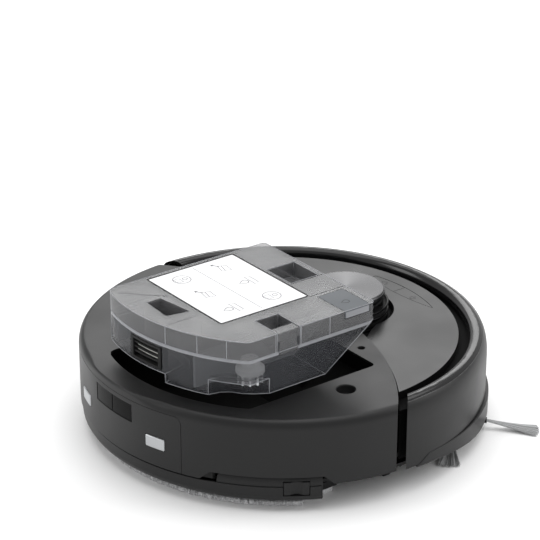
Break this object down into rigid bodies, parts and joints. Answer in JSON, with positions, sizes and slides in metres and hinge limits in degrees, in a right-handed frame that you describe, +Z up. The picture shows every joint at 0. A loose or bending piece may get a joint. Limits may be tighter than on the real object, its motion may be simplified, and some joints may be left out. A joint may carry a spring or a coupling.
{
  "type": "robot vacuum",
  "caption": "Round robot vacuum and mop with a lift-out dust bin shown raised, lidar turret, sprung bumper, side brush, roller, drive wheels and rear mop pad.",
  "frame": {"origin": "on the floor under the centre of the round body", "axes": "+Z up; -Y the driving direction, towards the bumper; +Y towards the charging contacts; -X the robot's right side, with the side brush"},
  "size_m": [0.3412, 0.3406, 0.136],
  "materials": {
    "charcoal_shell": "fine matte texture",
    "black_plastic": "matte",
    "satin_grey": "satin",
    "gloss_black": "high gloss",
    "spun_metal": "dark spun finish",
    "contact_metal": "satin",
    "soft_rubber": "matte",
    "tyre_rubber": "matte",
    "smoky_clear": "smoky translucent plastic",
    "milky_clear": "milky translucent plastic",
    "plug_grey": "satin silicone",
    "label_white": "paper",
    "bristle": "nylon bristle",
    "microfibre": "looped microfibre",
    "filter_paper": "pleated paper",
    "circuit_board": "satin",
    "battery_wrap": "shrink film",
    "motor_metal": "satin"
  },
  "bodies": {
    "chassis": {"lower_chassis": "black_plastic", "rear_shell": "charcoal_shell", "bay_liner": "black_plastic", "front_deck": "black_plastic", "front_cover": "satin_grey", "charge_panel": "charcoal_shell", "charge_contact_right": "contact_metal", "charge_contact_left": "contact_metal", "ir_window": "gloss_black", "lidar_base": "black_plastic", "lidar_guard": "gloss_black", "roller_chamber": "black_plastic", "suction_duct": "black_plastic", "brush_bearing": "black_plastic", "roller_motor": "motor_metal", "battery_pack": "battery_wrap", "main_board": "circuit_board", "fan_housing": "black_plastic", "exhaust_duct": "black_plastic", "cliff_sensor_1": "gloss_black", "cliff_sensor_2": "gloss_black", "cliff_sensor_3": "gloss_black", "cliff_sensor_4": "gloss_black", "side_brush_motor": "motor_metal"},
    "bumper": {"bumper": "gloss_black", "bumper_skirt": "charcoal_shell"},
    "power_button": {"power_button": "satin_grey"},
    "home_button": {"home_button": "satin_grey"},
    "lidar_head": {"lidar_head": "gloss_black"},
    "lidar_cap": {"lidar_cap": "spun_metal"},
    "roller": {"roller_brush": "soft_rubber"},
    "brush_guard": {"brush_guard": "charcoal_shell"},
    "impeller": {"fan_impeller": "black_plastic"},
    "right_suspension": {"wheel_arm_right": "black_plastic"},
    "right_wheel": {"wheel_hub_right": "charcoal_shell", "tyre_right": "tyre_rubber"},
    "left_suspension": {"wheel_arm_left": "black_plastic"},
    "left_wheel": {"wheel_hub_left": "charcoal_shell", "tyre_left": "tyre_rubber"},
    "caster": {"caster_fork": "charcoal_shell"},
    "caster_roll": {"caster_wheel": "soft_rubber"},
    "side_brush": {"side_brush_hub": "soft_rubber", "side_brush_tuft_1": "bristle", "side_brush_tuft_2": "bristle", "side_brush_tuft_3": "bristle", "side_brush_tuft_4": "bristle"},
    "mop": {"mop_plate": "charcoal_shell", "mop_pad": "microfibre"},
    "mop_release_right": {"mop_release_right": "charcoal_shell"},
    "mop_release_left": {"mop_release_left": "charcoal_shell"},
    "bin": {"bin_tub": "smoky_clear", "filter_frame": "black_plastic", "filter_media": "filter_paper", "water_valve": "milky_clear"},
    "bin_lid": {"bin_lid": "smoky_clear", "label_sheet": "label_white", "lid_hinge_pin": "contact_metal"},
    "lid_latch": {"lid_latch": "smoky_clear"},
    "tank_plug": {"tank_plug": "plug_grey"},
    "inlet_flap": {"inlet_flap": "plug_grey"}
  },
  "joints": [
    {"name": "bin_lift", "type": "slide", "parent": "chassis", "child": "bin", "axis": [0, 0, 1], "range_m": [-0.056, 0.04]},
    {"name": "lid_hinge", "type": "hinge", "parent": "bin", "child": "bin_lid", "pos_m": [0.046, 0.072, 0.12], "axis": [0, 1, 0], "range_deg": [0, 100]},
    {"name": "lid_latch_turn", "type": "hinge", "parent": "bin_lid", "child": "lid_latch", "pos_m": [-0.0926, 0.0715, 0.135], "axis": [0, 1, 0], "range_deg": [0, 35]},
    {"name": "tank_plug_hinge", "type": "hinge", "parent": "bin_lid", "child": "tank_plug", "pos_m": [-0.0673, 0.0035, 0.1354], "axis": [0, 1, 0], "range_deg": [0, 90]},
    {"name": "inlet_flap_hinge", "type": "hinge", "parent": "bin", "child": "inlet_flap", "pos_m": [-0.011, 0.0024, 0.1139], "axis": [1, 0, 0], "range_deg": [0, 45]},
    {"name": "bumper_push", "type": "slide", "parent": "chassis", "child": "bumper", "axis": [0, 1, 0], "range_m": [0, 0.004], "stiffness_N_per_m": 800, "springref_m": -0.002},
    {"name": "power_press", "type": "slide", "parent": "chassis", "child": "power_button", "axis": [0, 0, 1], "range_m": [-0.0008, 0], "stiffness_N_per_m": 1500, "springref_m": 0.0005},
    {"name": "home_press", "type": "slide", "parent": "chassis", "child": "home_button", "axis": [0, 0, 1], "range_m": [-0.0008, 0], "stiffness_N_per_m": 1500, "springref_m": 0.0005},
    {"name": "lidar_spin", "type": "hinge", "parent": "chassis", "child": "lidar_head", "pos_m": [0, -0.067, 0.08], "axis": [0, 0, 1], "continuous": true},
    {"name": "lidar_cap_press", "type": "slide", "parent": "chassis", "child": "lidar_cap", "axis": [0, 0, 1], "range_m": [-0.001, 0], "stiffness_N_per_m": 2500, "springref_m": 0.0008},
    {"name": "roller_spin", "type": "hinge", "parent": "chassis", "child": "roller", "pos_m": [0, -0.018, 0.022], "axis": [1, 0, 0], "continuous": true},
    {"name": "brush_guard_release", "type": "slide", "parent": "chassis", "child": "brush_guard", "axis": [0, 0, 1], "range_m": [-0.04, 0]},
    {"name": "impeller_spin", "type": "hinge", "parent": "chassis", "child": "impeller", "pos_m": [0.084, 0.08, 0.046], "axis": [0, 0, 1], "continuous": true},
    {"name": "right_suspension_swing", "type": "hinge", "parent": "chassis", "child": "right_suspension", "pos_m": [-0.11, 0.044, 0.044], "axis": [1, 0, 0], "range_deg": [0, 25], "stiffness_Nm_per_rad": 0.25, "springref_deg": 34.38},
    {"name": "right_wheel_spin", "type": "hinge", "parent": "right_suspension", "child": "right_wheel", "pos_m": [-0.128, 0, 0.034], "axis": [1, 0, 0], "continuous": true},
    {"name": "left_suspension_swing", "type": "hinge", "parent": "chassis", "child": "left_suspension", "pos_m": [0.11, 0.044, 0.044], "axis": [1, 0, 0], "range_deg": [0, 25], "stiffness_Nm_per_rad": 0.25, "springref_deg": 34.38},
    {"name": "left_wheel_spin", "type": "hinge", "parent": "left_suspension", "child": "left_wheel", "pos_m": [0.128, 0, 0.034], "axis": [1, 0, 0], "continuous": true},
    {"name": "caster_swivel", "type": "hinge", "parent": "chassis", "child": "caster", "pos_m": [0, -0.124, 0.03], "axis": [0, 0, 1], "continuous": true},
    {"name": "caster_roll_spin", "type": "hinge", "parent": "caster", "child": "caster_roll", "pos_m": [0, -0.118, 0.013], "axis": [1, 0, 0], "continuous": true},
    {"name": "side_brush_spin", "type": "hinge", "parent": "chassis", "child": "side_brush", "pos_m": [-0.108, -0.098, 0.01], "axis": [0, 0, 1], "continuous": true},
    {"name": "mop_slide", "type": "slide", "parent": "chassis", "child": "mop", "axis": [0, 1, 0], "range_m": [0, 0.13]},
    {"name": "mop_release_right_press", "type": "slide", "parent": "mop", "child": "mop_release_right", "axis": [0.8339, -0.5519, 0], "range_m": [0, 0.0016], "stiffness_N_per_m": 1200, "springref_m": -0.0006},
    {"name": "mop_release_left_press", "type": "slide", "parent": "mop", "child": "mop_release_left", "axis": [-0.8339, -0.5519, 0], "range_m": [0, 0.0016], "stiffness_N_per_m": 1200, "springref_m": -0.0006}
  ]
}
